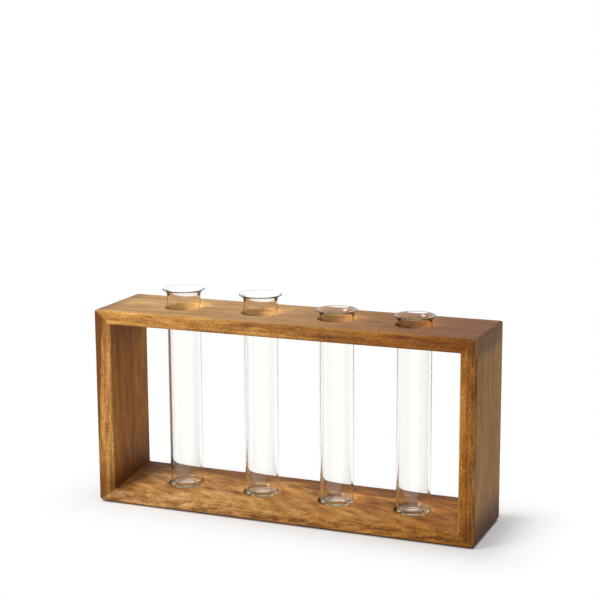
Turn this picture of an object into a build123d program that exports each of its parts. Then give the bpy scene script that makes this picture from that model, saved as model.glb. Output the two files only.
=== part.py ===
from build123d import *
import os
from math import atan2, cos, degrees, isclose, pi, radians, sin

# Test tube vase: a mitred wooden frame that stands four glass tubes in a row.
# The origin is on the table under the middle of the frame. X runs along the row of
# tubes, the front faces -Y and Z points up. Lengths are millimetres.

# Frame, outside sizes and the thickness of each hand-planed board
FRAME_WIDTH = 300.0
FRAME_HEIGHT = 150.7
FRAME_DEPTH = 70.0
TOP_THICKNESS = 10.6
BASE_THICKNESS = 9.6
LEFT_THICKNESS = 13.5
RIGHT_THICKNESS = 12.0

# The left board is planed thinner towards its back edge, and the base thicker
LEFT_BACK_THICKNESS = 8.0
BASE_BACK_THICKNESS = 12.6

# Sanded edges: the long edges, and how much rounder the outer corners of the frame are
EDGE_RADIUS = 1.0
CORNER_SOFTENING = 1.0

# Loose tongue hidden in each mitre, sized from the thinner board of the corner
TONGUE_WIDTH_SHARE = 0.75
TONGUE_THICKNESS_SHARE = 0.25
TONGUE_END_MARGIN = 13.0
TONGUE_CLEARANCE = 0.1

# Feet: thin discs stuck under the base near its corners
FOOT_DIAMETER = 12.0
FOOT_HEIGHT = 1.3
FOOT_INSET = 14.0
FOOT_EDGE_RADIUS = 0.4

# Glass tubes: the body is the same on all, the lip is not
TUBE_DIAMETER = 25.5
TUBE_WALL = 1.4
TUBE_FLOOR = 2.6
HEEL_RADIUS = 5.0
STANDING_RING_WIDTH = 1.5
PUNT_RISE = 0.8
FLARE_ANGLE = 72.0
TALL_LIP_RISE = 14.3
TALL_FLARE_RADIUS = 4.5
SHORT_LIP_RISE = 6.8
SHORT_FLARE_RADIUS = 3.0

# Row of tubes: one (lip rise above the frame, flare radius) for each tube, left to right
TALL_TUBE = (TALL_LIP_RISE, TALL_FLARE_RADIUS)
SHORT_TUBE = (SHORT_LIP_RISE, SHORT_FLARE_RADIUS)
TUBE_ROW = (TALL_TUBE, TALL_TUBE, SHORT_TUBE, SHORT_TUBE)
ROW_LEFT_MARGIN = 45.2
ROW_RIGHT_MARGIN = 44.1

# How far each hand-drilled place of the row strays to the right of even spacing
HOLE_DRIFTS = (0.0, 2.2, 1.6, 0.0)

# Holes through the top rail and the shallow sockets in the base that the tubes stand in, with the depth
# of a socket at its middle
HOLE_CLEARANCE = 1.75
HOLE_RIM_RADIUS = 0.8
SOCKET_CLEARANCE = 1.75
SOCKET_DEPTH = 2.8
SOCKET_RIM_RADIUS = 0.5

# An edge counts as a hole's rim when it has this share of the way round the hole
RIM_LENGTH_SHARE = 0.9

# Cuts run past the faces that they open by this much
CUT_OVERRUN = 5.0

# Places that follow from the sizes above, those of the opening on the front
FRAME_BOTTOM = FOOT_HEIGHT
FRAME_TOP = FRAME_BOTTOM + FRAME_HEIGHT
OPENING_LEFT = LEFT_THICKNESS - FRAME_WIDTH / 2
OPENING_RIGHT = FRAME_WIDTH / 2 - RIGHT_THICKNESS
OPENING_BOTTOM = FRAME_BOTTOM + BASE_THICKNESS
OPENING_TOP = FRAME_TOP - TOP_THICKNESS
SEAT_HEIGHT = FRAME_BOTTOM + (BASE_THICKNESS + BASE_BACK_THICKNESS) / 2 - SOCKET_DEPTH
TUBE_RADIUS = TUBE_DIAMETER / 2
HOLE_RADIUS = TUBE_RADIUS + HOLE_CLEARANCE
SOCKET_RADIUS = TUBE_RADIUS + SOCKET_CLEARANCE
FIRST_TUBE_X = OPENING_LEFT + ROW_LEFT_MARGIN
LAST_TUBE_X = OPENING_RIGHT - ROW_RIGHT_MARGIN
TUBE_PITCH = (LAST_TUBE_X - FIRST_TUBE_X) / (len(TUBE_ROW) - 1)
TUBE_XS = [FIRST_TUBE_X + TUBE_PITCH * place + drift for place, drift in enumerate(HOLE_DRIFTS)]

# How the left board's inner side moves over, and how the base's upper side rises, towards the back
LEFT_SLANT = (LEFT_BACK_THICKNESS - LEFT_THICKNESS) / FRAME_DEPTH
BASE_RISE = (BASE_BACK_THICKNESS - BASE_THICKNESS) / FRAME_DEPTH

# Each corner of the frame: the outer and the inner point of its mitre on the front, in X and Z, and
# the way that its inner edge runs to the back
MITRES = {
    "top_left": (
        Vector(-FRAME_WIDTH / 2, 0, FRAME_TOP),
        Vector(OPENING_LEFT, 0, OPENING_TOP),
        Vector(LEFT_SLANT, 1, 0),
    ),
    "top_right": (
        Vector(FRAME_WIDTH / 2, 0, FRAME_TOP),
        Vector(OPENING_RIGHT, 0, OPENING_TOP),
        Vector(0, 1, 0),
    ),
    "base_left": (
        Vector(-FRAME_WIDTH / 2, 0, FRAME_BOTTOM),
        Vector(OPENING_LEFT, 0, OPENING_BOTTOM),
        Vector(LEFT_SLANT, 1, BASE_RISE),
    ),
    "base_right": (
        Vector(FRAME_WIDTH / 2, 0, FRAME_BOTTOM),
        Vector(OPENING_RIGHT, 0, OPENING_BOTTOM),
        Vector(0, 1, BASE_RISE),
    ),
}


def frame_blank():
    """The whole frame in one: a rounded block with its opening, whose left side slants and whose floor rises."""
    outside = RectangleRounded(FRAME_WIDTH, FRAME_HEIGHT, EDGE_RADIUS + CORNER_SOFTENING)
    outline = Plane.XZ * Pos(0, (FRAME_BOTTOM + FRAME_TOP) / 2) * outside
    block = extrude(outline, FRAME_DEPTH / 2, both=True)
    past = FRAME_DEPTH / 2 + CUT_OVERRUN
    steps = [(y, y + FRAME_DEPTH / 2) for y in (-past, past)]
    slanted_side = [(OPENING_LEFT + LEFT_SLANT * step, y) for y, step in steps]
    plan = make_face(Polyline(*slanted_side, (OPENING_RIGHT, past), (OPENING_RIGHT, -past), close=True))
    rising_floor = [(y, OPENING_BOTTOM + BASE_RISE * step) for y, step in steps]
    section = make_face(Polyline(*rising_floor, (past, OPENING_TOP), (-past, OPENING_TOP), close=True))
    opening = extrude(plan, FRAME_TOP) & extrude(Plane.YZ * section, FRAME_WIDTH / 2, both=True)
    return block - opening


def board_band(first, second):
    """The straight strip of the frame that the board between two corners is cut from."""
    points = []
    for outer, inner, backwards in (MITRES[first], MITRES[second]):
        points += [outer, inner, inner + backwards * FRAME_DEPTH]
    left, right = min(point.X for point in points), max(point.X for point in points)
    bottom, top = min(point.Z for point in points), max(point.Z for point in points)
    return Pos((left + right) / 2, 0, (bottom + top) / 2) * Box(right - left, FRAME_DEPTH, top - bottom)


def mitre_plane(corner):
    """The flat of a corner's mitre: it holds the mitre line on the front and the inner edge of the corner."""
    outer, inner, backwards = MITRES[corner]
    across = inner - outer
    front_corner = outer - Vector(0, FRAME_DEPTH / 2, 0)
    return Plane(front_corner, x_dir=across, z_dir=across.cross(backwards))


def sanded_edges(board):
    """The edges of a board's front and back that sanding reaches, so not its mitre lines."""
    def on_a_face(edge):
        return isclose(abs(edge.center().Y), FRAME_DEPTH / 2, rel_tol=1e-6)

    def on_a_mitre(edge):
        slope = edge.tangent_at(0.5)
        straight = edge.geom_type == GeomType.LINE
        return straight and not isclose(max(abs(slope.X), abs(slope.Z)), 1, rel_tol=1e-6)

    return [edge for edge in board.edges() if on_a_face(edge) and not on_a_mitre(edge)]


def mitred_board(first, second):
    """One board of the frame, from corner to corner, with its two tongue grooves cut."""
    board = frame_blank() & board_band(first, second)
    for corner, far_corner in ((first, second), (second, first)):
        plane = mitre_plane(corner)
        far_side = plane.to_local_coords(MITRES[far_corner][0]).Z
        board = split(board, plane, Keep.TOP if far_side > 0 else Keep.BOTTOM)
    board = fillet(sanded_edges(board), EDGE_RADIUS)
    return board - tongue(first, TONGUE_CLEARANCE) - tongue(second, TONGUE_CLEARANCE)


def tongue(corner, clearance=0.0):
    """The loose tongue across one mitre, or the groove for it when given a clearance."""
    outer, inner, backwards = MITRES[corner]
    across = inner - outer
    halfway = inner + backwards * (FRAME_DEPTH / 2)
    share = min((halfway.X - outer.X) / across.X, (halfway.Z - outer.Z) / across.Z)
    thinner = min(abs(across.X), abs(across.Z)) * share
    thickness = thinner * TONGUE_THICKNESS_SHARE + 2 * clearance
    width = thinner * TONGUE_WIDTH_SHARE + 2 * clearance
    length = FRAME_DEPTH - 2 * TONGUE_END_MARGIN + 2 * clearance
    tilt = degrees(atan2(across.Z, across.X))
    middle = Vector(halfway.X - across.X * share / 2, 0, halfway.Z - across.Z * share / 2)
    return Pos(middle) * Rot(0, -tilt, 0) * Box(thickness, length, width)


def rims(board, shape, around):
    """The edges of one shape on a board, all the way round a hole of at least a given radius."""
    return [edge for edge in board.edges().filter_by(shape) if edge.length > 2 * pi * around * RIM_LENGTH_SHARE]


def top_rail():
    """The top board, with an eased hole for each tube to pass through."""
    board = mitred_board("top_left", "top_right")
    for x in TUBE_XS:
        hole = Cylinder(HOLE_RADIUS, TOP_THICKNESS + 2 * CUT_OVERRUN)
        board -= Pos(x, 0, (OPENING_TOP + FRAME_TOP) / 2) * hole
    return fillet(rims(board, GeomType.CIRCLE, HOLE_RADIUS), HOLE_RIM_RADIUS)


def base_rail():
    """The bottom board, with a shallow flat socket for each tube to stand in."""
    board = mitred_board("base_left", "base_right")
    socket_height = SOCKET_DEPTH + CUT_OVERRUN
    for x in TUBE_XS:
        board -= Pos(x, 0, SEAT_HEIGHT + socket_height / 2) * Cylinder(SOCKET_RADIUS, socket_height)
    return fillet(rims(board, GeomType.ELLIPSE, SOCKET_RADIUS), SOCKET_RIM_RADIUS)


def foot(side, end):
    """One thin foot under the base: side is -1 at the left, end is -1 at the front."""
    disc = Cylinder(FOOT_DIAMETER / 2, FOOT_HEIGHT)
    disc = fillet(disc.edges().group_by(Axis.Z)[0], min(FOOT_EDGE_RADIUS, FOOT_HEIGHT / 2))
    x = side * (FRAME_WIDTH / 2 - FOOT_INSET)
    y = end * (FRAME_DEPTH / 2 - FOOT_INSET)
    return Pos(x, y, FOOT_HEIGHT / 2) * disc


def dome_arc(radius, base_height, rise):
    """The arc of a shallow dome, from its rim at a radius to its top on the axis."""
    curve_radius = (radius**2 + rise**2) / (2 * rise)
    centre_height = base_height + rise - curve_radius
    start = degrees(atan2(base_height - centre_height, radius))
    return CenterArc((0, centre_height), curve_radius, start, 90 - start)


def tube_profile(length, flare_radius):
    """Half of a tube's section: radius along the first axis and height along the second."""
    inside_radius = TUBE_RADIUS - TUBE_WALL
    inside_heel = HEEL_RADIUS - TUBE_WALL
    heel_centre = TUBE_RADIUS - HEEL_RADIUS
    punt_radius = heel_centre - STANDING_RING_WIDTH
    angle = radians(FLARE_ANGLE)
    rim_reach = flare_radius + TUBE_WALL / 2
    flare_start = length - TUBE_WALL / 2 - rim_reach * sin(angle)
    flare_centre = (TUBE_RADIUS + flare_radius, flare_start)
    rim_centre = (
        TUBE_RADIUS + flare_radius - rim_reach * cos(angle),
        flare_start + rim_reach * sin(angle),
    )
    outline = [
        dome_arc(punt_radius, 0, PUNT_RISE),
        Line((punt_radius, 0), (heel_centre, 0)),
        CenterArc((heel_centre, HEEL_RADIUS), HEEL_RADIUS, -90, 90),
        Line((TUBE_RADIUS, HEEL_RADIUS), (TUBE_RADIUS, flare_start)),
        CenterArc(flare_centre, flare_radius, 180, -FLARE_ANGLE),
        CenterArc(rim_centre, TUBE_WALL / 2, -FLARE_ANGLE, 180),
        CenterArc(flare_centre, flare_radius + TUBE_WALL, 180 - FLARE_ANGLE, FLARE_ANGLE),
        Line((inside_radius, flare_start), (inside_radius, TUBE_FLOOR + inside_heel)),
        CenterArc((heel_centre, TUBE_FLOOR + inside_heel), inside_heel, 0, -90),
        dome_arc(heel_centre, TUBE_FLOOR, PUNT_RISE),
        Line((0, TUBE_FLOOR + PUNT_RISE), (0, PUNT_RISE)),
    ]
    return make_face(outline)


def tube(x, lip_rise, flare_radius):
    """A glass tube standing in its socket, open at the top, with a flared lip."""
    length = FRAME_TOP + lip_rise - SEAT_HEIGHT
    profile = Plane.XZ * tube_profile(length, flare_radius)
    return Pos(x, 0, SEAT_HEIGHT) * revolve(profile, Axis.Z)


def vase():
    """Every piece of the vase by name."""
    pieces = {
        "top_rail": top_rail(),
        "base_rail": base_rail(),
        "left_upright": mitred_board("top_left", "base_left"),
        "right_upright": mitred_board("top_right", "base_right"),
    }
    for corner in MITRES:
        pieces[f"tongue_{corner}"] = tongue(corner)
    for side, side_name in ((-1, "left"), (1, "right")):
        for end, end_name in ((-1, "front"), (1, "rear")):
            pieces[f"foot_{end_name}_{side_name}"] = foot(side, end)
    for place, (x, shape) in enumerate(zip(TUBE_XS, TUBE_ROW), start=1):
        pieces[f"glass_tube_{place}"] = tube(x, *shape)
    return pieces


os.makedirs("parts", exist_ok=True)
for name, piece in vase().items():
    export_step(piece, f"parts/{name}.step")
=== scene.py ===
"""Test tube vase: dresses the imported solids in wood, glass and rubber, and lights them on a white sweep.

The origin is on the table under the middle of the frame. X runs along the row of tubes, the front faces -Y
and Z points up. Lengths are metres.
"""

import logging
from collections.abc import Callable, Iterator
from contextlib import contextmanager
from dataclasses import dataclass
from enum import Enum
from math import atan2, cos, hypot, pi, radians, sin

import bpy
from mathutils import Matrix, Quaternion, Vector

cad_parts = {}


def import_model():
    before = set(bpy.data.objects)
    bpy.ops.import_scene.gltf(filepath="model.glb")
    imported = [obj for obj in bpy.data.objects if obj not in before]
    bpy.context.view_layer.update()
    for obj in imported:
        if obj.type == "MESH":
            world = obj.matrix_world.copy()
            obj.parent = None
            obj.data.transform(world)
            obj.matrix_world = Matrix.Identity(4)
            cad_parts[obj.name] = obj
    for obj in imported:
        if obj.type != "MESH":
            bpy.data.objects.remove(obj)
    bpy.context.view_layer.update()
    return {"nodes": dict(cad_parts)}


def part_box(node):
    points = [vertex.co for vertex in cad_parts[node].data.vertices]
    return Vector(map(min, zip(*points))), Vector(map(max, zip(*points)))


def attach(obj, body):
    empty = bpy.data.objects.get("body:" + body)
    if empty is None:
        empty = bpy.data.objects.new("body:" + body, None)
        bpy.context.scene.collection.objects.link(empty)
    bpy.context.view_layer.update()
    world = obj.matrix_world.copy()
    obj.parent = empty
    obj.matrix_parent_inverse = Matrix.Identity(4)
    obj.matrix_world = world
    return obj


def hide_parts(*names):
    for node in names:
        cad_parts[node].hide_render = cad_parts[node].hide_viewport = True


LOG = logging.getLogger("test_tube_vase")
WEAR = "wear"
JOINT = "joint"
BORE = "bore"
TINY = 1e-6
NEAR = 1e-5
RIGHTWARD = (1.0, 0.0, 0.0)
BACKWARD = (0.0, 1.0, 0.0)
UPWARD = (0.0, 0.0, 1.0)
NOWHERE = (0.0, 0.0, 0.0)
SIDES = ("left", "right")

Triple = tuple[float, float, float]
Pair = tuple[float, float]
Socket = bpy.types.NodeSocket
Piece = bpy.types.Object


class Grain(Enum):
    """The way a board's fibres run, as the turn that lays them along the pattern's X."""

    ALONG = (0.0, 0.0, 0.0)
    UPRIGHT = (0.0, pi / 2, 0.0)


class Corner(Enum):
    """A corner of the frame: which outer and inner sides meet there."""

    TOP_LEFT = ("left", "top")
    TOP_RIGHT = ("right", "top")
    BASE_LEFT = ("left", "bottom")
    BASE_RIGHT = ("right", "bottom")


def take(piece: Piece) -> None:
    """Leaves one object selected and active.

    Args:
        piece: The object to work on.
    """
    bpy.ops.object.select_all(action="DESELECT")
    piece.select_set(True)
    bpy.context.view_layer.objects.active = piece


@contextmanager
def editing(piece: Piece, kind: str = "VERT") -> Iterator[None]:
    """Holds a piece in edit mode for a few operators.

    Args:
        piece: The mesh object to edit.
        kind: What is selected there: VERT, EDGE or FACE.

    Returns:
        Nothing while the piece is in edit mode.
    """
    take(piece)
    bpy.ops.object.mode_set(mode="EDIT")
    bpy.ops.mesh.select_mode(type=kind)
    yield
    bpy.ops.object.mode_set(mode="OBJECT")


def bevel_edges(piece: Piece, wanted: Callable[[Vector, Vector], bool], radius: float, steps: int) -> None:
    """Rounds the edges of a piece that pass a test.

    Args:
        piece: The mesh object.
        wanted: The test, given the places of an edge's two ends.
        radius: The radius of the rounding.
        steps: The number of facets across it.
    """
    with editing(piece, "EDGE"):
        bpy.ops.mesh.select_all(action="DESELECT")
    points = piece.data.vertices
    chosen = [edge for edge in piece.data.edges if wanted(*(points[index].co for index in edge.vertices))]
    if not chosen:
        raise ValueError(f"no edge of {piece.name} is where its rounding goes")
    for edge in chosen:
        edge.select = True
    with editing(piece, "EDGE"):
        bpy.ops.mesh.bevel(offset=radius, offset_type="OFFSET", segments=steps, affect="EDGES")


def slice_piece(piece: Piece, point: Triple, normal: Triple, keep_back: bool) -> None:
    """Cuts all of a piece along a plane.

    Args:
        piece: The mesh object.
        point: A point of the plane.
        normal: The plane's normal.
        keep_back: Whether what lies on the normal's side goes and the cut is closed.
    """
    with editing(piece):
        bpy.ops.mesh.select_all(action="SELECT")
        bpy.ops.mesh.bisect(plane_co=point, plane_no=normal, use_fill=keep_back, clear_outer=keep_back)


def add_block(name: str, low: Triple, high: Triple) -> Piece:
    """Adds a block between two corners.

    Args:
        name: The new object's name.
        low: Its lowest corner.
        high: Its highest corner.

    Returns:
        The block, with its place in its mesh.
    """
    middle = [(a + b) / 2 for a, b in zip(low, high)]
    sides = [b - a for a, b in zip(low, high)]
    bpy.ops.object.select_all(action="DESELECT")
    bpy.ops.mesh.primitive_cube_add(size=1, location=middle, scale=sides)
    block = bpy.context.object
    block.name = name
    bpy.ops.object.transform_apply(location=True, rotation=True, scale=True)
    return block


def cut_away(piece: Piece, cutter: Piece) -> None:
    """Takes a cutter's shape out of a piece, and removes the cutter.

    Args:
        piece: The mesh object to cut.
        cutter: The shape to take out.
    """
    take(piece)
    cut = piece.modifiers.new("cut", "BOOLEAN")
    cut.object = cutter
    cut.operation = "DIFFERENCE"
    cut.solver = "EXACT"
    bpy.ops.object.modifier_apply(modifier=cut.name)
    bpy.data.objects.remove(cutter)


def copy_piece(piece: Piece, name: str, shift: Triple = NOWHERE) -> Piece:
    """Copies a piece with its own mesh.

    Args:
        piece: The object to copy.
        name: The copy's name.
        shift: How far the copy stands from it.

    Returns:
        The copy, with its place in its mesh.
    """
    take(piece)
    bpy.ops.object.duplicate(linked=False)
    copied = bpy.context.object
    copied.name = name
    bpy.ops.transform.translate(value=shift)
    bpy.ops.object.transform_apply(location=True, rotation=True, scale=True)
    return copied


def smooth(piece: Piece, angle: float) -> None:
    """Shades a piece smooth, with flat faces kept flat.

    Args:
        piece: The mesh object.
        angle: Edges sharper than this stay sharp, in degrees.
    """
    take(piece)
    bpy.ops.object.shade_smooth_by_angle(angle=radians(angle))
    weighted = piece.modifiers.new("flat_faces", "WEIGHTED_NORMAL")
    weighted.keep_sharp = True
    bpy.ops.object.modifier_apply(modifier=weighted.name)


def paint(piece: Piece, material: bpy.types.Material) -> None:
    """Gives a piece one finish in place of any it has."""
    piece.data.materials.clear()
    piece.data.materials.append(material)


def mark(piece: Piece, name: str, values: list[float]) -> None:
    """Stores a named number on each point of a piece, for its finish to read."""
    layer = piece.data.attributes.new(name, "FLOAT", "POINT")
    layer.data.foreach_set("value", values)


def settle(piece: Piece, body: str, slot: str, *nodes: str) -> None:
    """Puts a finished piece on its body and in place of its solids.

    Args:
        piece: The finished mesh object.
        body: The body that it moves with.
        slot: Not used.
        nodes: The solids that it stands for.
    """
    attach(piece, body)
    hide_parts(*nodes)
    LOG.info("%s rides on %s, %d faces", piece.name, body, len(piece.data.polygons))


@dataclass(frozen=True)
class Noise:
    """Soft noise: waves to the metre each way, finer layers and their strength, swirl, and share of a sum."""

    waves: Triple
    detail: float = 2.0
    roughness: float = 0.5
    swirl: float = 0.0
    share: float = 0.0


class Recipe:
    """A material's nodes, added one by one."""

    def __init__(self, name: str) -> None:
        """Starts an empty material.

        Args:
            name: The material's name.
        """
        self.material = bpy.data.materials.new(name)
        self.material.use_nodes = True
        self.tree = self.material.node_tree
        self.tree.nodes.clear()

    def node(self, kind: str, inputs: dict | None = None, **settings: object) -> bpy.types.Node:
        """Adds a node.

        Args:
            kind: The node's type.
            inputs: What each input takes, a socket or a value.
            settings: The node's own settings.

        Returns:
            The node.
        """
        made = self.tree.nodes.new(kind)
        for key, value in settings.items():
            setattr(made, key, value)
        for key, value in (inputs or {}).items():
            if isinstance(value, Socket):
                self.tree.links.new(value, made.inputs[key])
            else:
                made.inputs[key].default_value = value
        return made

    def place(self) -> Socket:
        """Gives the place on the piece, in metres from the origin."""
        return self.node("ShaderNodeTexCoord").outputs["Object"]

    def mapped(self, vector: Socket, turn: Triple = NOWHERE, shift: Triple = NOWHERE) -> Socket:
        """Turns a place about each axis, then shifts it."""
        inputs = {"Vector": vector, "Rotation": turn, "Location": shift}
        return self.node("ShaderNodeMapping", inputs).outputs["Vector"]

    def noise(self, vector: Socket, kind: Noise, output: str = "Fac") -> Socket:
        """Gives noise over a place.

        Args:
            vector: The place.
            kind: What the noise is like.
            output: Fac for a number, Color for three.

        Returns:
            The noise, 0.5 on average.
        """
        stretched = self.node("ShaderNodeMapping", {"Vector": vector, "Scale": kind.waves})
        inputs = {
            "Vector": stretched.outputs["Vector"],
            "Scale": 1.0,
            "Detail": kind.detail,
            "Roughness": kind.roughness,
            "Distortion": kind.swirl,
        }
        return self.node("ShaderNodeTexNoise", inputs).outputs[output]

    def maths(self, operation: str, *values: object) -> Socket:
        """Works out a number from numbers or sockets."""
        return self.node("ShaderNodeMath", dict(enumerate(values)), operation=operation).outputs[0]

    def vectors(self, operation: str, *values: object) -> bpy.types.Node:
        """Works on places, and gives the node, which has a place or a number."""
        return self.node("ShaderNodeVectorMath", dict(enumerate(values)), operation=operation)

    def spread(
        self, value: Socket, low: float, high: float, new_low: float = 0.0, new_high: float = 1.0
    ) -> Socket:
        """Maps the range of a number from low to high onto a new one, softly and within its ends."""
        inputs = {"Value": value, "From Min": low, "From Max": high, "To Min": new_low, "To Max": new_high}
        return self.node("ShaderNodeMapRange", inputs, interpolation_type="SMOOTHSTEP").outputs["Result"]

    def ramp(self, value: Socket, stops: list[tuple[float, Triple]]) -> Socket:
        """Colours a number.

        Args:
            value: The number, from 0 to 1.
            stops: Each place along it with its colour.

        Returns:
            The colour.
        """
        made = self.node("ShaderNodeValToRGB", {"Fac": value})
        elements = made.color_ramp.elements
        while len(elements) < len(stops):
            elements.new(0.5)
        for element, (at, colour) in zip(elements, stops):
            element.position = at
            element.color = (*colour, 1.0)
        return made.outputs["Color"]

    def blend(self, amount: object, first: object, second: object, mode: str = "MIX") -> Socket:
        """Lays one colour over another.

        Args:
            amount: How much of the second.
            first: The lower colour.
            second: The upper colour.
            mode: The way they mix.

        Returns:
            The mixed colour.
        """
        made = self.node("ShaderNodeMix", data_type="RGBA", blend_type=mode)
        ends = ((made.inputs["Factor"], amount), (made.inputs[6], first), (made.inputs[7], second))
        for socket, value in ends:
            if isinstance(value, Socket):
                self.tree.links.new(value, socket)
            else:
                socket.default_value = (*value, 1.0) if isinstance(value, tuple) else value
        return made.outputs[2]

    def bump(self, height: Socket, depth: float, strength: float) -> Socket:
        """Turns a height from 0 to 1 into relief of a depth, and gives the surface's direction."""
        inputs = {"Height": height, "Distance": depth, "Strength": strength}
        return self.node("ShaderNodeBump", inputs).outputs["Normal"]

    def output(self, surface: Socket, volume: Socket | None = None) -> bpy.types.Material:
        """Ends the material.

        Args:
            surface: Its surface shader.
            volume: Its inside, if it has one.

        Returns:
            The finished material.
        """
        inputs = {"Surface": surface}
        if volume is not None:
            inputs["Volume"] = volume
        self.node("ShaderNodeOutputMaterial", inputs)
        return self.material


@dataclass(frozen=True)
class Streak:
    """A darker or lighter slab through the board, square to its facing; some are layers of wood and some are
    painted shade.
    """

    facing: Triple
    distance: float
    half_width: float
    strength: float
    softness: float = 0.0008
    faces_only: bool = False
    light: bool = False


@dataclass(frozen=True)
class WoodFinish:
    """Oiled hardwood, sawn at one place of the log, with growth layers, ripple, fibres, pores and flecks;
    light and shade are painted over it along the board, by facing, in some slabs and in its bores.

    The pattern's X runs along the fibres, its Y across the board's depth and its Z through its thickness.
    """

    name: str
    grain: Grain
    shift: Triple
    # Painted light and shade along the board, over its own tone: the multipliers at its two ends.
    start_tone_and_light: Triple = (1.0, 1.0, 1.0)
    end_tone_and_light: Triple = (1.0, 1.0, 1.0)
    tint_from: float = -0.15
    tint_to: float = 0.15
    slant: float = 0.06
    ripple: float = 0.5
    # Layers of wood, and slabs of painted shade.
    streaks_and_shade: tuple[Streak, ...] = ()
    deep: Triple = (0.130, 0.042, 0.0100)
    brown: Triple = (0.320, 0.124, 0.0290)
    gold: Triple = (0.510, 0.228, 0.0600)
    pale: Triple = (0.700, 0.400, 0.1550)
    edge_from: float = 0.0336
    edge_to: float = 0.0346
    face_flecks: float = 0.22
    face_figure: float = 0.65
    # Painted light per facing, over the wood's colour: multipliers on the broad faces and on the narrow
    # edges.
    face_tone_and_light: Triple = (1.0, 1.0, 1.0)
    edge_tone_and_light: Triple = (1.0, 1.0, 1.0)
    seam: float = 0.2
    rub: float = 0.25
    gloss: float = 0.22
    # Painted shade on the walls of the bores, and how much of it shows.
    bore_shade: Triple = (0.165, 0.110, 0.0600)
    bore_shade_share: float = 0.75
    tone_stops: tuple[float, ...] = (0.22, 0.41, 0.57, 0.80)
    wander: tuple[tuple[Noise, Triple], ...] = (
        (Noise((9, 22, 22)), (0.0, 0.012, 0.0022)),
        (Noise((48, 90, 160)), (0.0, 0.0024, 0.0009)),
    )
    growth: tuple[Noise, ...] = (
        Noise((3.2, 42, 170), share=0.45),
        Noise((15, 105, 460), 3, 0.6, share=0.40),
        Noise((60, 110, 170), 3, 0.6, share=0.40),
    )
    crossing: Noise = Noise((26, 150, 300), 2, 0.5, 0.4)
    slant_tilt: float = 0.3
    fibres: Noise = Noise((42, 1250, 1250), 2, 0.6, share=0.35)
    pores: Noise = Noise((480, 1050, 1050), 2, 0.6)
    patches: Noise = Noise((60, 60, 60), 3, 0.6)
    ragged: Noise = Noise((30, 400, 400), 3)
    ragged_reach: float = 4.0
    dash_range: Pair = (0.54, 0.68)
    dash_share: float = 0.6
    glint_range: Pair = (0.46, 0.32)
    glint_share: float = 0.35
    rubbed_range: Pair = (0.45, 0.65)
    seam_range: Pair = (0.42, 0.60)
    fibre_range: Pair = (0.3, 0.7)
    fibre_roughness: Pair = (0.48, 0.60)
    dash_roughness: float = 0.2
    fibre_height: float = 0.6
    dash_height: float = 0.8
    relief: float = 0.00025
    relief_share: float = 0.35

    def material(self) -> bpy.types.Material:
        """Builds the wood.

        Returns:
            The material.
        """
        mix = Recipe(self.name)
        here = mix.place()
        board = mix.mapped(here, turn=self.grain.value, shift=self.shift)
        lines = self.wandering(mix, board)
        edge = self.sawn_edge(mix, here)
        fibre = mix.noise(lines, self.fibres)
        stops = list(zip(self.tone_stops, (self.deep, self.brown, self.gold, self.pale)))
        tone = mix.maths("SUBTRACT", self.tone(mix, lines, fibre), 0.5)
        figure = mix.maths("MULTIPLY_ADD", edge, 1 - self.face_figure, self.face_figure)
        colour = mix.ramp(mix.maths("MULTIPLY_ADD", tone, figure, 0.5), stops)
        pore = mix.noise(lines, self.pores)
        flecks = mix.maths("MULTIPLY_ADD", edge, 1 - self.face_flecks, self.face_flecks)
        dash = mix.maths("MULTIPLY", mix.spread(pore, *self.dash_range), flecks)
        glint = mix.maths("MULTIPLY", mix.spread(pore, *self.glint_range), flecks)
        colour = mix.blend(mix.maths("MULTIPLY", dash, self.dash_share), colour, self.deep)
        colour = mix.blend(mix.maths("MULTIPLY", glint, self.glint_share), colour, self.pale)
        # Painted light per facing: painted sheen on broad faces of the rails and right upright, painted shade
        # on the left upright's.
        colour = mix.blend(1.0, colour, mix.blend(edge, self.face_tone_and_light, self.edge_tone_and_light), "MULTIPLY")
        faces = mix.maths("SUBTRACT", 1.0, edge)
        for layer in self.streaks_and_shade:
            amount = self.layer(mix, here, lines, layer)
            if layer.faces_only:
                amount = mix.maths("MULTIPLY", amount, faces)
            colour = mix.blend(amount, colour, self.pale if layer.light else self.deep)
        # Painted light and shade along the board, over its own change of tone.
        colour = self.tone_and_light_along(mix, here, colour)
        colour = self.wear_and_bore_shade(mix, lines, faces, colour)
        rough = mix.spread(fibre, *self.fibre_range, *self.fibre_roughness)
        rough = mix.maths("MULTIPLY_ADD", dash, self.dash_roughness, rough)
        raised = mix.maths("MULTIPLY", fibre, self.fibre_height)
        height = mix.maths("SUBTRACT", raised, mix.maths("MULTIPLY", dash, self.dash_height))
        inputs = {
            "Base Color": colour,
            "Roughness": rough,
            "Normal": mix.bump(height, self.relief, self.relief_share),
            "Specular IOR Level": self.gloss,
        }
        return mix.output(mix.node("ShaderNodeBsdfPrincipled", inputs).outputs["BSDF"])

    def wandering(self, mix: Recipe, board: Socket) -> Socket:
        """Lets the fibres wander across the board as they run along it.

        Args:
            mix: The material being made.
            board: The place, with the fibres along X.

        Returns:
            The place, with straight fibres.
        """
        moved = board
        for kind, reach in self.wander:
            drift = mix.noise(board, kind, "Color")
            drift = mix.vectors("SUBTRACT", drift, (0.5, 0.5, 0.5)).outputs[0]
            moved = mix.vectors("MULTIPLY_ADD", drift, reach, moved).outputs[0]
        return moved

    def sawn_edge(self, mix: Recipe, here: Socket) -> Socket:
        """Gives 1 on the narrow front and back edges, which show every pore and take their own painted light,
        and 0 on the broad faces.
        """
        depth = mix.node("ShaderNodeSeparateXYZ", {"Vector": here}).outputs["Y"]
        return mix.spread(mix.maths("ABSOLUTE", depth), self.edge_from, self.edge_to)

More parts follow.
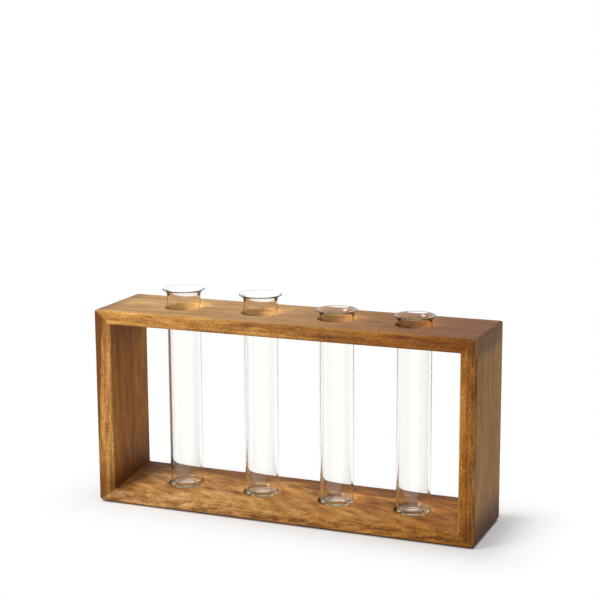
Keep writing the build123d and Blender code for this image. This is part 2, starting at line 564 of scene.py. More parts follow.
    def tone(self, mix: Recipe, lines: Socket, fibre: Socket) -> Socket:
        """Adds up the layers that make the wood lighter and darker.

        Args:
            mix: The material being made.
            lines: The place, with straight fibres.
            fibre: The finest layer.

        Returns:
            The tone, 0.5 on average.
        """
        turned = mix.mapped(lines, turn=(0.0, self.slant_tilt * self.slant, self.slant))
        layers = [(mix.noise(lines, kind), kind.share) for kind in self.growth]
        layers += [(mix.noise(turned, self.crossing), self.ripple), (fibre, self.fibres.share)]
        tone: object = (1 - sum(share for _, share in layers)) / 2
        for value, share in layers:
            tone = mix.maths("MULTIPLY_ADD", value, share, tone)
        return tone

    def layer(self, mix: Recipe, here: Socket, lines: Socket, streak: Streak) -> Socket:
        """Gives where a darker or lighter slab is; some are layers of wood, some painted shade.

        Args:
            mix: The material being made.
            here: The place on the piece.
            lines: The place, with straight fibres.
            streak: The slab.

        Returns:
            How much of it shows, from 0 to its strength.
        """
        ragged = mix.maths("SUBTRACT", mix.noise(lines, self.ragged), 0.5)
        level = mix.vectors("DOT_PRODUCT", here, streak.facing).outputs["Value"]
        level = mix.maths("ABSOLUTE", mix.maths("SUBTRACT", level, streak.distance))
        level = mix.maths("MULTIPLY_ADD", ragged, self.ragged_reach * streak.softness, level)
        outside = streak.half_width + streak.softness
        inside = streak.half_width - streak.softness
        return mix.spread(level, outside, inside, 0.0, streak.strength)

    def tone_and_light_along(self, mix: Recipe, here: Socket, colour: Socket) -> Socket:
        """Paints light and shade from one end of the board to the other, over a shift in the wood's own tone.

        Args:
            mix: The material being made.
            here: The place on the piece.
            colour: The wood so far.

        Returns:
            The wood, with its painted light and shade.
        """
        split = mix.node("ShaderNodeSeparateXYZ", {"Vector": here})
        along = split.outputs["X" if self.grain is Grain.ALONG else "Z"]
        way = mix.spread(along, self.tint_from, self.tint_to)
        # Painted light: one end lighter and greyer, the other darker.
        return mix.blend(1.0, colour, mix.blend(way, self.start_tone_and_light, self.end_tone_and_light), "MULTIPLY")

    def wear_and_bore_shade(self, mix: Recipe, lines: Socket, faces: Socket, colour: Socket) -> Socket:
        """Lightens parts of the joint lines and of rubbed edges, and paints shade on the walls of the bores.

        Args:
            mix: The material being made.
            lines: The place, with straight fibres.
            faces: 1 on the broad faces, 0 on the narrow edges.
            colour: The wood so far.

        Returns:
            The wood with its wear, and painted shade in its bores.
        """
        patches = mix.noise(lines, self.patches)
        marks = [mix.node("ShaderNodeAttribute", attribute_name=name) for name in (WEAR, JOINT, BORE)]
        rubbed, seam, bore = (node.outputs["Fac"] for node in marks)
        amount = mix.maths("MULTIPLY", mix.spread(patches, *self.rubbed_range, 0.0, self.rub), rubbed)
        colour = mix.blend(amount, colour, self.pale)
        line = mix.spread(patches, *self.seam_range, 0.0, self.seam)
        line = mix.maths("MULTIPLY", line, mix.maths("MULTIPLY", seam, faces))
        colour = mix.blend(line, colour, self.pale)
        # Painted shade on the walls of the bores.
        return mix.blend(mix.maths("MULTIPLY", bore, self.bore_shade_share), colour, self.bore_shade)


@dataclass(frozen=True)
class GlassFinish:
    """Clear drawn glass with a trace of olive in its thickness and faint draw lines."""

    name: str = "clear_glass"
    tint: Triple = (0.94, 0.96, 0.70)
    density: float = 32.0
    bending: float = 1.5
    draw_lines: Noise = Noise((160, 160, 9))
    dull_range: Pair = (0.55, 0.85)
    dullest: float = 0.02
    relief: float = 0.0003
    relief_share: float = 0.05

    def material(self) -> bpy.types.Material:
        """Builds the glass.

        Returns:
            The material.
        """
        mix = Recipe(self.name)
        drawn = mix.noise(mix.place(), self.draw_lines)
        inputs = {
            "Base Color": (1.0, 1.0, 1.0, 1.0),
            "Roughness": mix.spread(drawn, *self.dull_range, 0.0, self.dullest),
            "IOR": self.bending,
            "Transmission Weight": 1.0,
            "Normal": mix.bump(drawn, self.relief, self.relief_share),
        }
        shader = mix.node("ShaderNodeBsdfPrincipled", inputs)
        inside = mix.node("ShaderNodeVolumeAbsorption", {"Color": (*self.tint, 1.0), "Density": self.density})
        return mix.output(shader.outputs["BSDF"], inside.outputs["Volume"])


@dataclass(frozen=True)
class RubberFinish:
    """Dull black rubber with a fine moulded speckle."""

    name: str = "foot_rubber"
    dark: Triple = (0.012, 0.012, 0.013)
    light: Triple = (0.035, 0.034, 0.033)
    cloud: Noise = Noise((240, 240, 240))
    cloud_stops: Pair = (0.3, 0.75)
    speckle: Noise = Noise((1800, 1800, 1800))
    speckle_range: Pair = (0.3, 0.7)
    dullness: Pair = (0.7, 0.9)
    gloss: float = 0.4
    relief: float = 0.0001
    relief_share: float = 0.5

    def material(self) -> bpy.types.Material:
        """Builds the rubber.

        Returns:
            The material.
        """
        mix = Recipe(self.name)
        speckle = mix.noise(mix.place(), self.speckle)
        cloud = mix.noise(mix.place(), self.cloud)
        inputs = {
            "Base Color": mix.ramp(cloud, list(zip(self.cloud_stops, (self.dark, self.light)))),
            "Roughness": mix.spread(speckle, *self.speckle_range, *self.dullness),
            "Normal": mix.bump(speckle, self.relief, self.relief_share),
            "Specular IOR Level": self.gloss,
        }
        return mix.output(mix.node("ShaderNodeBsdfPrincipled", inputs).outputs["BSDF"])


@dataclass(frozen=True)
class FrameSizes:
    """The outside and the opening of the frame, read from its packed boards.

    The opening's left side slants and its floor rises: they move by left_slant and base_rise for each step
    towards the back.
    """

    left: float
    right: float
    front: float
    back: float
    bottom: float
    top: float
    opening_left: float
    opening_right: float
    opening_bottom: float
    opening_top: float
    left_slant: float
    base_rise: float

    @classmethod
    def from_boards(cls, left_thickness: Pair, base_thickness: Pair) -> "FrameSizes":
        """Reads the sizes from the boxes of the four boards.

        Args:
            left_thickness: The thickness of the left board at its front edge and at its back edge.
            base_thickness: The same of the base.

        Returns:
            The sizes.
        """
        left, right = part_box("left_upright"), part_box("right_upright")
        base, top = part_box("base_rail"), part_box("top_rail")
        depth = top[1].y - top[0].y
        return cls(
            left=left[0].x,
            right=right[1].x,
            front=top[0].y,
            back=top[1].y,
            bottom=base[0].z,
            top=top[1].z,
            opening_left=left[0].x + left_thickness[0],
            opening_right=right[0].x,
            opening_bottom=base[0].z + base_thickness[0],
            opening_top=top[0].z,
            left_slant=(left_thickness[1] - left_thickness[0]) / depth,
            base_rise=(base_thickness[1] - base_thickness[0]) / depth,
        )

    def mitre(self, corner: Corner, middle: Vector) -> tuple[Vector, Vector]:
        """Gives the plane of a corner's mitre, facing away from a board.

        Args:
            corner: The corner.
            middle: The middle of the board.

        Returns:
            The outer point of the mitre, on the front, and the plane's normal.
        """
        side, level = corner.value
        outer = Vector((getattr(self, side), self.front, getattr(self, level)))
        inner = Vector((getattr(self, f"opening_{side}"), self.front, getattr(self, f"opening_{level}")))
        slant = self.left_slant if side == "left" else 0.0
        backwards = Vector((slant, 1.0, self.base_rise if level == "bottom" else 0.0))
        normal = (inner - outer).cross(backwards).normalized()
        return outer, -normal if normal.dot(middle - outer) > 0 else normal

    def slanted_side(self, depth: float) -> float:
        """Gives where the opening's left side is at a place from front to back."""
        return self.opening_left + self.left_slant * (depth - self.front)

    def rising_floor(self, depth: float) -> float:
        """Gives how high the opening's floor is at a place from front to back."""
        return self.opening_bottom + self.base_rise * (depth - self.front)

    def outline_gap(self, place: Vector) -> float:
        """Gives how far a point is from the nearest side of the frame or of its opening.

        Args:
            place: The point.

        Returns:
            The distance, in the plane of the frame.
        """
        sides = (place.x - self.left, self.right - place.x, place.z - self.bottom, self.top - place.z)
        beside = (self.slanted_side(place.y) - place.x, place.x - self.opening_right)
        over = (self.rising_floor(place.y) - place.z, place.z - self.opening_top)
        return min(abs(min(sides)), abs(max(*beside, *over)))


@dataclass
class Board:
    """One mitred board: its solid, its two corners and its finish."""

    node: str
    corners: tuple[Corner, Corner]
    finish: WoodFinish
    bore_depth: float | None = None


@dataclass
class WoodFrame:
    """The mitred frame: four boards with sanded edges, and holes and sockets for the tubes."""

    sizes: FrameSizes
    tube_xs: tuple[float, ...]
    boards: tuple[Board, ...]
    edge_radius: float = 0.001
    corner_radius: float = 0.002
    dubbed_radius: float = 0.003
    hole_radius: float = 0.0145
    rim_radius: float = 0.0007
    joint_line: float = 0.0007
    slice_length: float = 0.004
    wear_depth: float = 0.0005
    wear_scale: float = 0.012
    wear_clear: float = 0.006
    round_steps: int = 4
    corner_steps: int = 6
    rim_steps: int = 3
    hole_facets: int = 96
    smooth_angle: float = 40.0
    wear_layers: int = 2
    slack: float = 1.01

    def build(self) -> list[Piece]:
        """Models the four boards and puts them in place.

        Returns:
            The boards.
        """
        blank = self.blank()
        made = [self.board(blank, board) for board in self.boards]
        bpy.data.objects.remove(blank)
        return made

    def blank(self) -> Piece:
        """Models the whole frame in one, before its mitres are cut.

        Returns:
            The frame blank.
        """
        size = self.sizes
        low, high = (size.left, size.front, size.bottom), (size.right, size.back, size.top)
        blank = add_block("frame_blank", low, high)

        def at_dubbed_corner(place: Vector) -> bool:
            """Says whether a point is at the corner that is dubbed off most."""
            return abs(place.x - size.left) < TINY and abs(place.z - size.bottom) < TINY

        def crosses(first: Vector, second: Vector) -> bool:
            """Says whether an edge runs from front to back."""
            return abs(first.y - second.y) > self.edge_radius

        steps = self.corner_steps
        bevel_edges(blank, lambda a, b: crosses(a, b) and not at_dubbed_corner(a), self.corner_radius, steps)
        bevel_edges(blank, lambda a, b: crosses(a, b) and at_dubbed_corner(a), self.dubbed_radius, steps)
        past = self.corner_radius
        opening_low = (size.opening_left, size.front - past, size.opening_bottom)
        opening_high = (size.opening_right, size.back + past, size.opening_top)
        opening = add_block("opening", opening_low, opening_high)
        for vertex in opening.data.vertices:
            if vertex.co.x < 0:
                vertex.co.x = size.slanted_side(vertex.co.y)
            if vertex.co.z < size.opening_top - TINY:
                vertex.co.z = size.rising_floor(vertex.co.y)
        cut_away(blank, opening)

        def on_face(place: Vector) -> bool:
            """Says whether a point is on the front or back, at a side of the frame or of its opening."""
            at_face = min(abs(place.y - size.front), abs(place.y - size.back)) < TINY
            at_corner = size.outline_gap(place) < self.dubbed_radius
            return at_face and at_corner

        def arris(first: Vector, second: Vector) -> bool:
            """Says whether an edge goes round the front or back of the frame or of its opening."""
            middle = (first + second) / 2
            return on_face(first) and on_face(second) and size.outline_gap(middle) < self.dubbed_radius / 2

        bevel_edges(blank, arris, self.edge_radius, self.round_steps)
        return blank

    def board(self, blank: Piece, board: Board) -> Piece:
        """Cuts one board out of the blank, bores it, wears its edges and finishes it.

        Args:
            blank: The frame blank.
            board: What the board is.

        Returns:
            The finished board.
        """
        piece = copy_piece(blank, f"{board.node}_wood")
        low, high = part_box(board.node)
        middle = (low + high) / 2
        for corner in board.corners:
            self.cut_mitre(piece, corner, middle)
        if board.bore_depth is not None:
            self.bore(piece, high.z, board.bore_depth)
        self.cut_lengths(piece, board, low, high)
        self.wear(piece, board)
        smooth(piece, self.smooth_angle)
        paint(piece, board.finish.material())
        settle(piece, "frame", "wood", board.node)
        return piece

    def cut_mitre(self, piece: Piece, corner: Corner, middle: Vector) -> None:
        """Cuts a board's end along its mitre, and scores the line beside it.

        Args:
            piece: The board.
            corner: The corner at that end.
            middle: The middle of the board.
        """
        outer, normal = self.sizes.mitre(corner, middle)
        slice_piece(piece, outer, normal, True)
        slice_piece(piece, outer - normal * self.joint_line, normal, False)

    def bore(self, piece: Piece, surface: float, depth: float) -> None:
        """Bores a hole for each tube, down from the board's upper side, and eases its rim.

        Args:
            piece: The board.
            surface: The height of its upper side.
            depth: How deep the hole is.
        """
        past = self.corner_radius
        through = depth > surface - self.sizes.opening_top > 0
        for x in self.tube_xs:
            place = (x, 0, surface + past - (depth + past) / 2)
            bpy.ops.object.select_all(action="DESELECT")
            bpy.ops.mesh.primitive_cylinder_add(
                vertices=self.hole_facets, radius=self.hole_radius, depth=depth + past, location=place
            )
            cutter = bpy.context.object
            bpy.ops.object.transform_apply(location=True, rotation=True, scale=True)
            cut_away(piece, cutter)

        def at_mouth(place: Vector) -> bool:
            """Says whether a point is on the mouth of a hole."""
            floor = self.sizes.rising_floor(place.y)
            levels = (self.sizes.top, self.sizes.opening_top) if through else (floor,)
            return self.on_bore(place) and any(abs(place.z - level) < NEAR for level in levels)

        bevel_edges(piece, lambda a, b: at_mouth(a) and at_mouth(b), self.rim_radius, self.rim_steps)

    def on_bore(self, place: Vector) -> bool:
        """Says whether a point is on the wall of a hole or socket."""
        return any(abs(hypot(place.x - x, place.y) - self.hole_radius) < NEAR for x in self.tube_xs)

    def cut_lengths(self, piece: Piece, board: Board, low: Vector, high: Vector) -> None:
        """Slices a board at even steps along its length, so that its edges can waver.

        Args:
            piece: The board.
            board: What the board is.
            low: The lowest corner of its solid.
            high: The highest corner of its solid.
        """
        axis = 0 if board.finish.grain is Grain.ALONG else 2
        normal = tuple(1.0 if index == axis else 0.0 for index in range(3))
        count = int((high[axis] - low[axis]) / self.slice_length)
        with editing(piece):
            for step in range(1, count):
                point = [0.0, 0.0, 0.0]
                point[axis] = low[axis] + (high[axis] - low[axis]) * step / count
                bpy.ops.mesh.select_all(action="SELECT")
                bpy.ops.mesh.bisect(plane_co=point, plane_no=normal)

    def arris_share(self, place: Vector) -> float:
        """Gives how far round a sanded edge a point is.

        Args:
            place: A point of a board.

        Returns:
            0 on the flats, 1 at the middle of the rounding.
        """
        depth = min(place.y - self.sizes.front, self.sizes.back - place.y)
        gap = self.sizes.outline_gap(place)
        reach = self.edge_radius * self.slack
        if depth > reach or gap > reach:
            return 0.0
        return max(0.0, 1 - abs(depth - gap) / self.edge_radius)

    def wear(self, piece: Piece, board: Board) -> None:
        """Wears a board's long edges a little unevenly, and marks its edges and joint lines for the finish.

        Args:
            piece: The board.
            board: What the board is.
        """
        low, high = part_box(board.node)
        middle = (low + high) / 2
        planes = [self.sizes.mitre(corner, middle) for corner in board.corners]
        mesh = piece.data
        shares = [self.arris_share(vertex.co) for vertex in mesh.vertices]
        gaps = [min(-(vertex.co - point).dot(normal) for point, normal in planes) for vertex in mesh.vertices]
        mark(piece, WEAR, shares)
        mark(piece, JOINT, [1.0 if gap < TINY else 0.0 for gap in gaps])
        mark(piece, BORE, [1.0 if self.on_bore(vertex.co) else 0.0 for vertex in mesh.vertices])
        group = piece.vertex_groups.new(name="arris")
        for index, (share, gap) in enumerate(zip(shares, gaps)):
            group.add([index], share * min(1.0, max(0.0, gap / self.wear_clear)), "REPLACE")
        take(piece)
        texture = bpy.data.textures.new(f"{board.node}_wear", "CLOUDS")
        texture.noise_scale = self.wear_scale
        texture.noise_depth = self.wear_layers
        waver = piece.modifiers.new("wear", "DISPLACE")
        waver.texture = texture
        waver.texture_coords = "LOCAL"
        waver.vertex_group = group.name
        waver.strength = self.wear_depth
        waver.mid_level = 1.0
        bpy.ops.object.modifier_apply(modifier=waver.name)
        piece.vertex_groups.clear()
        for vertex in piece.data.vertices:
            vertex.co = [min(max(value, a), b) for value, a, b in zip(vertex.co, low, high)]


@dataclass
class TubeRow:
    """The glass tubes: one shape for each lip, modelled once and copied along the row."""

    count: int = 4
    radius: float = 0.01275
    wall: float = 0.0014
    floor: float = 0.0026
    heel_radius: float = 0.005
    standing_ring: float = 0.0015
    punt_rise: float = 0.0008
    flare_angle: float = radians(72)
    rim_wall: float = 0.0007
    turn_steps: int = 144
    round_steps: int = 10
    inner_heel_steps: int = 8
    dome_steps: int = 6

    def nodes(self) -> list[str]:
        """Names the tubes' solids, from the left."""
        return [f"glass_tube_{place}" for place in range(1, self.count + 1)]

    def centres(self) -> tuple[float, ...]:
        """Gives where each tube's axis stands along the row."""
        boxes = [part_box(node) for node in self.nodes()]
        return tuple((low.x + high.x) / 2 for low, high in boxes)

    def build(self, finish: bpy.types.Material) -> list[Piece]:
        """Models the tubes and puts them in place.

        Args:
            finish: The glass.

        Returns:
            The tubes.
        """
        shapes: dict[Pair, tuple[Piece, float]] = {}
        made = []
        for place, (node, x) in enumerate(zip(self.nodes(), self.centres()), start=1):
            low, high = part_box(node)
            size = (round(high.x - low.x, 5), round(high.z, 5))
            name = f"tube_{place}_glass"
            if size in shapes:
                model, model_x = shapes[size]
                piece = copy_piece(model, name, (x - model_x, 0.0, 0.0))
            else:
                piece = self.turn(name, x, self.profile(low.z, high.z, (high.x - low.x) / 2))
                shapes[size] = (piece, x)
            made.append(piece)
        for place, (piece, node) in enumerate(zip(made, self.nodes()), start=1):
            piece.visible_shadow = False
            paint(piece, finish)
            settle(piece, f"tube_{place}", "glass", node)
        return made

    def profile(self, seat: float, lip_top: float, lip_radius: float) -> list[Pair]:
        """Gives half of a tube's section, from the axis under its floor to the axis over it.

        Args:
            seat: The height that it stands on.
            lip_top: The height of its lip.
            lip_radius: The radius of its lip.

        Returns:
            The radius and the height of each point.
        """
        angle = self.flare_angle
        steps = self.round_steps
        half_rim = self.rim_wall / 2
        flare = (lip_radius - self.radius) / (1 - cos(angle)) - half_rim
        flare_start = lip_top - half_rim - (flare + half_rim) * sin(angle)
        flare_centre = (self.radius + flare, flare_start)
        rim_centre = (
            self.radius + flare - (flare + half_rim) * cos(angle),
            flare_start + (flare + half_rim) * sin(angle),
        )
        heel_centre = self.radius - self.heel_radius
        inner_heel = self.heel_radius - self.wall
        inner_heel_centre = (heel_centre, seat + self.floor + inner_heel)
        points = self.dome(heel_centre - self.standing_ring, seat, True)
        points += self.arc((heel_centre, seat + self.heel_radius), self.heel_radius, -pi / 2, 0, steps)
        points += self.arc(flare_centre, flare, pi, pi - angle, steps)
        points += self.arc(rim_centre, half_rim, -angle, pi - angle, steps)
        growth = self.wall - self.rim_wall
        points += self.arc(flare_centre, flare + self.rim_wall, pi - angle, pi, steps, growth)
        points += self.arc(inner_heel_centre, inner_heel, 0, -pi / 2, self.inner_heel_steps)
        points += self.dome(heel_centre, seat + self.floor, False)
        spaced = [points[0]]
        for point in points[1:]:
            if hypot(point[0] - spaced[-1][0], point[1] - spaced[-1][1]) > TINY:
                spaced.append(point)
        return spaced

    def arc(
        self, centre: Pair, radius: float, start: float, end: float, steps: int, growth: float = 0.0
    ) -> list[Pair]:
        """Gives the points of an arc.

        Args:
            centre: Its centre.
            radius: Its radius at the start.
            start: The angle that it starts at.
            end: The angle that it ends at.
            steps: The number of chords.
            growth: How much its radius has grown at the end.

        Returns:
            The points, both ends among them.
        """
        points = []
        for step in range(steps + 1):
            share = step / steps
            angle = start + (end - start) * share
            reach = radius + growth * share
            points.append((centre[0] + reach * cos(angle), centre[1] + reach * sin(angle)))
        return points

    def dome(self, radius: float, level: float, outward: bool) -> list[Pair]:
        """Gives the points of a shallow dome over the axis.

        Args:
            radius: The radius of its foot.
            level: The height of its foot.
            outward: Whether it runs from the axis outwards.

        Returns:
            The points, both ends among them.
        """
        curve = (radius**2 + self.punt_rise**2) / (2 * self.punt_rise)
        centre = (0.0, level + self.punt_rise - curve)
        foot = atan2(level - centre[1], radius)
        points = self.arc(centre, curve, foot, pi / 2, self.dome_steps)
        points[-1] = (0.0, points[-1][1])
        return points[::-1] if outward else points

    def turn(self, name: str, x: float, profile: list[Pair]) -> Piece:
        """Turns a section about the tube's axis.

        Args:
            name: The tube's name.
            x: Where its axis stands.
            profile: The section.

        Returns:
            The tube, closed and smooth.
        """
        bpy.ops.object.select_all(action="DESELECT")
        bpy.ops.mesh.primitive_plane_add(size=self.wall, location=(x + profile[0][0], 0, profile[0][1]))
        piece = bpy.context.object
        piece.name = name
        bpy.ops.object.transform_apply(location=True, rotation=True, scale=True)
        with editing(piece):
            bpy.ops.mesh.select_all(action="SELECT")
            bpy.ops.mesh.merge(type="CENTER")
            for before, after in zip(profile, profile[1:]):
                step = (after[0] - before[0], 0.0, after[1] - before[1])
                bpy.ops.mesh.extrude_region_move(TRANSFORM_OT_translate={"value": step})
            bpy.ops.mesh.select_all(action="SELECT")
            bpy.ops.mesh.spin(steps=self.turn_steps, angle=2 * pi, center=(x, 0, 0), axis=(0, 0, 1))
            bpy.ops.mesh.select_all(action="SELECT")
            bpy.ops.mesh.remove_doubles(threshold=TINY)
            bpy.ops.mesh.normals_make_consistent(inside=False)
        take(piece)
        bpy.ops.object.shade_smooth()
        return piece


@dataclass
class HiddenParts:
    """The tongues in the mitres and the feet under the base, which keep their solids' shapes."""

    tongues: tuple[str, ...] = tuple(f"tongue_{level}_{side}" for level in ("top", "base") for side in SIDES)
    feet: tuple[str, ...] = tuple(f"foot_{row}_{side}" for row in ("front", "rear") for side in SIDES)

    def dress(self, nodes: dict[str, Piece], wood: bpy.types.Material, rubber: bpy.types.Material) -> None:
        """Gives the tongues and the feet their finishes.

        Args:
            nodes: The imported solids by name.
            wood: The tongues' wood.
            rubber: The feet's rubber.
        """
        for names, finish in ((self.tongues, wood), (self.feet, rubber)):
            for name in names:
                paint(nodes[name], finish)
                LOG.info("%s keeps its solid, in %s", name, finish.name)


@dataclass
class Studio:
    """The white sweep round the frame, the lamp and the camera."""

    sizes: FrameSizes
    lens: float = 93.191
    sensor: float = 36.0
    camera_place: Triple = (0.4286, -1.0472, 0.3852)
    camera_way: Triple = (-0.36833, 0.90957, -0.1924)
    camera_roll: float = radians(-0.297)
    floor_side: float = 8.0
    floor_white: float = 0.80
    near_share: float = 0.66
    far_share: float = 0.30
    shadow_reach: float = 0.035
    white_range: Pair = (0.004, 0.06)
    open_white: float = 0.97
    under_range: Pair = (-0.0015, 0.0005)
    fill: float = 0.40
    key_place: Triple = (-0.40, -0.50, 0.48)
    key_aim: Triple = (-0.03, 0.0, 0.06)
    key_side: float = 0.40
    key_power: float = 4.6
    light_paths: int = 24
    sight: float = 50.0

    def build(self) -> None:
        """Sets up the sweep, the lamp and the camera."""
        scene = bpy.context.scene
        scene.view_settings.view_transform = "Standard"
        for kind in ("max_bounces", "transmission_bounces", "glossy_bounces", "transparent_max_bounces"):
            setattr(scene.cycles, kind, self.light_paths)
        self.add_floor()
        self.add_world()
        self.add_key()
        self.add_camera()
        LOG.info("studio set")

    def seen_directly(self, tree: bpy.types.NodeTree) -> Socket:
        """Gives 1 where the eye, a reflection or glass looks, and 0 where light is gathered.

        Args:
            tree: The node tree of a material or of the world.

        Returns:
            The number.
        """
        path = tree.nodes.new("ShaderNodeLightPath")
        total = path.outputs["Is Camera Ray"]
        for name in ("Is Glossy Ray", "Is Transmission Ray"):
            larger = tree.nodes.new("ShaderNodeMath")
            larger.operation = "MAXIMUM"
            tree.links.new(total, larger.inputs[0])
            tree.links.new(path.outputs[name], larger.inputs[1])
            total = larger.outputs[0]
        return total

    def outside_frame(self, mix: Recipe) -> Socket:
        """Gives how far a place on the floor is outside the frame's footprint.

        Args:
            mix: The floor's material.

        Returns:
            The distance, below zero under the frame.
        """
        sizes = self.sizes
        split = mix.node("ShaderNodeSeparateXYZ", {"Vector": mix.place()})
        over = []
        for axis, half in (("X", (sizes.right - sizes.left) / 2), ("Y", (sizes.back - sizes.front) / 2)):
            over.append(mix.maths("SUBTRACT", mix.maths("ABSOLUTE", split.outputs[axis]), half))
        inside = mix.maths("MAXIMUM", *over)
        squares = [mix.maths("POWER", mix.maths("MAXIMUM", value, 0.0), 2.0) for value in over]
        beyond = mix.maths("SQRT", mix.maths("ADD", *squares))
        return mix.maths("ADD", beyond, mix.maths("MINIMUM", inside, 0.0))

    def add_floor(self) -> None:
        """Lays the white floor, which takes the shadow near the object and fades into the background."""
        bpy.ops.object.select_all(action="DESELECT")
        bpy.ops.mesh.primitive_plane_add(size=self.floor_side, location=(0, 0, 0))
        floor = bpy.context.object
        floor.name = "floor"
        mix = Recipe("white_floor")
        away = self.outside_frame(mix)
        seen = self.seen_directly(mix.tree)
        shade = mix.spread(away, 0.0, self.shadow_reach, self.near_share, self.far_share)
        grey = mix.node("ShaderNodeCombineColor", {0: shade, 1: shade, 2: shade}).outputs[0]
        matt = mix.node("ShaderNodeBsdfDiffuse", {"Color": mix.blend(seen, (self.floor_white,) * 3, grey)})
        rest = mix.maths("SUBTRACT", self.open_white, shade)
        rest = mix.maths("MULTIPLY", rest, mix.spread(away, *self.under_range))
        lift = mix.node("ShaderNodeEmission", {"Strength": mix.maths("MULTIPLY", seen, rest)})
        near = mix.node("ShaderNodeAddShader", {0: matt.outputs[0], 1: lift.outputs[0]})
        white = mix.node("ShaderNodeEmission", {"Strength": 1.0})
        reach = mix.maths("MULTIPLY", mix.spread(away, *self.white_range), seen)
        both = mix.node("ShaderNodeMixShader", {0: reach, 1: near.outputs[0], 2: white.outputs[0]})
        paint(floor, mix.output(both.outputs[0]))

    def add_world(self) -> None:
        """Surrounds the object with white that lights it softly."""
        world = bpy.data.worlds.new("white_surround")
        world.use_nodes = True
        tree = world.node_tree
        background = tree.nodes["Background"]
        background.inputs["Color"].default_value = (1.0, 1.0, 1.0, 1.0)
        level = tree.nodes.new("ShaderNodeMapRange")
        level.inputs["To Min"].default_value = self.fill
        level.inputs["To Max"].default_value = 1.0
        tree.links.new(self.seen_directly(tree), level.inputs["Value"])
        tree.links.new(level.outputs["Result"], background.inputs["Strength"])
        bpy.context.scene.world = world

    def add_key(self) -> None:
        """Adds the soft box at the left front."""
        lamp = bpy.data.lights.new("key", "AREA")
        lamp.size = self.key_side
        lamp.energy = self.key_power
        way = Vector(self.key_aim) - Vector(self.key_place)
        self.set_up(lamp, self.key_place, way.to_track_quat("-Z", "Y"))

    def set_up(self, thing: bpy.types.ID, place: Triple, turn: Quaternion) -> Piece:
        """Stands a lamp or a camera in the scene.

        Args:
            thing: The lamp or camera.
            place: Where it stands.
            turn: Which way it points.

        Returns:
            The object that holds it.
        """
        stand = bpy.data.objects.new(thing.name, thing)
        stand.location = place
        stand.rotation_mode = "QUATERNION"
        stand.rotation_quaternion = turn
        bpy.context.scene.collection.objects.link(stand)
        return stand

    def add_camera(self) -> None:
        """Sets the camera at the viewing angle."""
        camera = bpy.data.cameras.new("camera")
        camera.lens = self.lens
        camera.sensor_width = self.sensor
        camera.clip_end = self.sight
        roll = Quaternion(UPWARD, self.camera_roll)
        turn = Vector(self.camera_way).to_track_quat("-Z", "Y") @ roll
        bpy.context.scene.camera = self.set_up(camera, self.camera_place, turn)


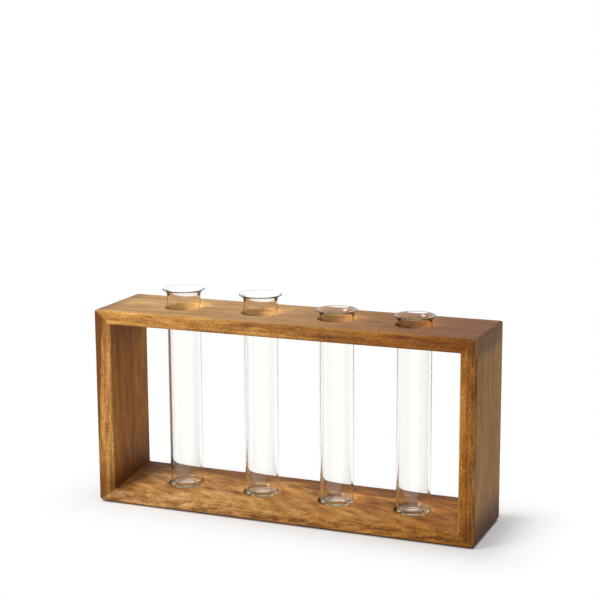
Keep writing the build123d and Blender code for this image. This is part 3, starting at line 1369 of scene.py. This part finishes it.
def frame_boards(sizes: FrameSizes) -> tuple[Board, ...]:
    """Lists the boards with the finish of each.

    Args:
        sizes: The sizes of the frame.

    Returns:
        The boards.
    """
    top = WoodFinish(
        "top_rail_wood",
        Grain.ALONG,
        (0.31, 0.02, 0.013),
        # Painted sheen at the left end and painted shade towards the right, over the wood's own tone.
        start_tone_and_light=(1.08, 1.20, 1.35),
        end_tone_and_light=(0.56, 0.39, 0.11),
        # Painted grey sheen on the top face; the front edge kept warmer.
        face_tone_and_light=(1.16, 1.30, 1.42),
        edge_tone_and_light=(1.06, 1.05, 0.74),
        # Painted shade in the holes.
        bore_shade=(0.130, 0.100, 0.0720),
        bore_shade_share=0.92,
        rub=0.05,
        streaks_and_shade=(
            Streak(RIGHTWARD, 0.0100, 0.0450, 0.35, 0.020, faces_only=True, light=True),
            Streak(RIGHTWARD, 0.1500, 0.0400, 0.22, 0.020),
            Streak(RIGHTWARD, -0.1500, 0.0080, 0.45, 0.006),
        ),
    )
    base = WoodFinish(
        "base_rail_wood",
        Grain.ALONG,
        (1.17, -0.03, 0.021),
        # Painted shade towards the right, over the wood's own tone.
        start_tone_and_light=(0.98, 1.02, 1.02),
        end_tone_and_light=(0.74, 0.60, 0.26),
        slant=0.45,
        ripple=0.9,
        face_flecks=0.8,
        face_figure=1.0,
        # Painted sheen: the face and edge multipliers lighten and grey the wood, with the gloss kept low.
        face_tone_and_light=(1.19, 1.25, 1.29),
        gloss=0.12,
        edge_tone_and_light=(1.15, 1.28, 1.66),
        # Painted shade in the sockets.
        bore_shade=(0.110, 0.055, 0.0200),
        bore_shade_share=0.5,
        streaks_and_shade=(
            # Painted shadow of the top rail across the back of the base's top.
            Streak(BACKWARD, 0.0400, 0.0230, 0.80, 0.013),
            Streak(RIGHTWARD, -0.1500, 0.0240, 0.45, 0.008),
            Streak(RIGHTWARD, 0.1500, 0.0160, 0.35, 0.006),
        ),
    )
    left = WoodFinish(
        "left_upright_wood",
        Grain.UPRIGHT,
        (0.63, 0.11, 0.034),
        # Painted shade at the foot of the upright.
        start_tone_and_light=(0.52, 0.44, 0.34),
        end_tone_and_light=(0.98, 1.00, 0.92),
        tint_from=sizes.bottom + 0.008,
        tint_to=sizes.bottom + 0.045,
        streaks_and_shade=(
            Streak((-1.0, 0.0, 0.06), 0.1719, 0.0200, 0.90),
            Streak(RIGHTWARD, -0.1500, 0.0026, 0.35),
            # Painted shade under the top rail: darker towards the top.
            Streak(UPWARD, 0.1520, 0.0260, 0.42, 0.012),
            # Painted shade on the broad faces at the foot of the upright.
            Streak(UPWARD, 0.0, 0.0300, 0.50, 0.020, faces_only=True),
        ),
        # Painted shade on the broad faces, the inner face among them.
        face_tone_and_light=(0.96, 0.86, 0.68),
        gloss=0.07,
        edge_tone_and_light=(1.0, 1.06, 1.12),
        seam=0.9,
    )
    right = WoodFinish(
        "right_upright_wood",
        Grain.UPRIGHT,
        (1.93, -0.07, 0.044),
        # Painted shade at the foot of the upright, darker and warmer.
        start_tone_and_light=(0.48, 0.35, 0.17),
        end_tone_and_light=(0.78, 0.66, 0.40),
        rub=0.8,
        gloss=0.14,
        # Painted grey sheen on the broad faces.
        face_tone_and_light=(1.25, 1.62, 2.6),
        tint_from=sizes.bottom + 0.004,
        tint_to=sizes.bottom + 0.030,
        streaks_and_shade=(
            Streak(RIGHTWARD, 0.1440, 0.0007, 0.5),
            Streak((0.3, 0.0, 1.0), 0.1990, 0.0160, 0.6, 0.005),
            # Painted shade and painted reflection of the floor's shadow at the foot of the end face.
            Streak(UPWARD, 0.0, 0.0180, 0.8, 0.012, faces_only=True),
        ),
        edge_tone_and_light=(1.18, 1.28, 1.20),
    )
    socket_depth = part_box("base_rail")[1].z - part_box("glass_tube_1")[0].z
    through = sizes.top - sizes.opening_top + WoodFrame.corner_radius
    return (
        Board("top_rail", (Corner.TOP_LEFT, Corner.TOP_RIGHT), top, through),
        Board("base_rail", (Corner.BASE_LEFT, Corner.BASE_RIGHT), base, socket_depth),
        Board("left_upright", (Corner.TOP_LEFT, Corner.BASE_LEFT), left),
        Board("right_upright", (Corner.TOP_RIGHT, Corner.BASE_RIGHT), right),
    )


def main() -> None:
    """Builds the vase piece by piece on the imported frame, then the studio round it."""
    logging.basicConfig(level=logging.INFO, format="%(message)s")
    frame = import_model()
    sizes = FrameSizes.from_boards(left_thickness=(0.0135, 0.008), base_thickness=(0.0096, 0.0126))
    tubes = TubeRow()
    WoodFrame(sizes, tubes.centres(), frame_boards(sizes)).build()
    tubes.build(GlassFinish().material())
    tongue_wood = WoodFinish("beech_tongue_wood", Grain.ALONG, (2.4, 0.2, 0.3))
    HiddenParts().dress(frame["nodes"], tongue_wood.material(), RubberFinish().material())
    Studio(sizes).build()


if __name__ == "__main__":
    main()
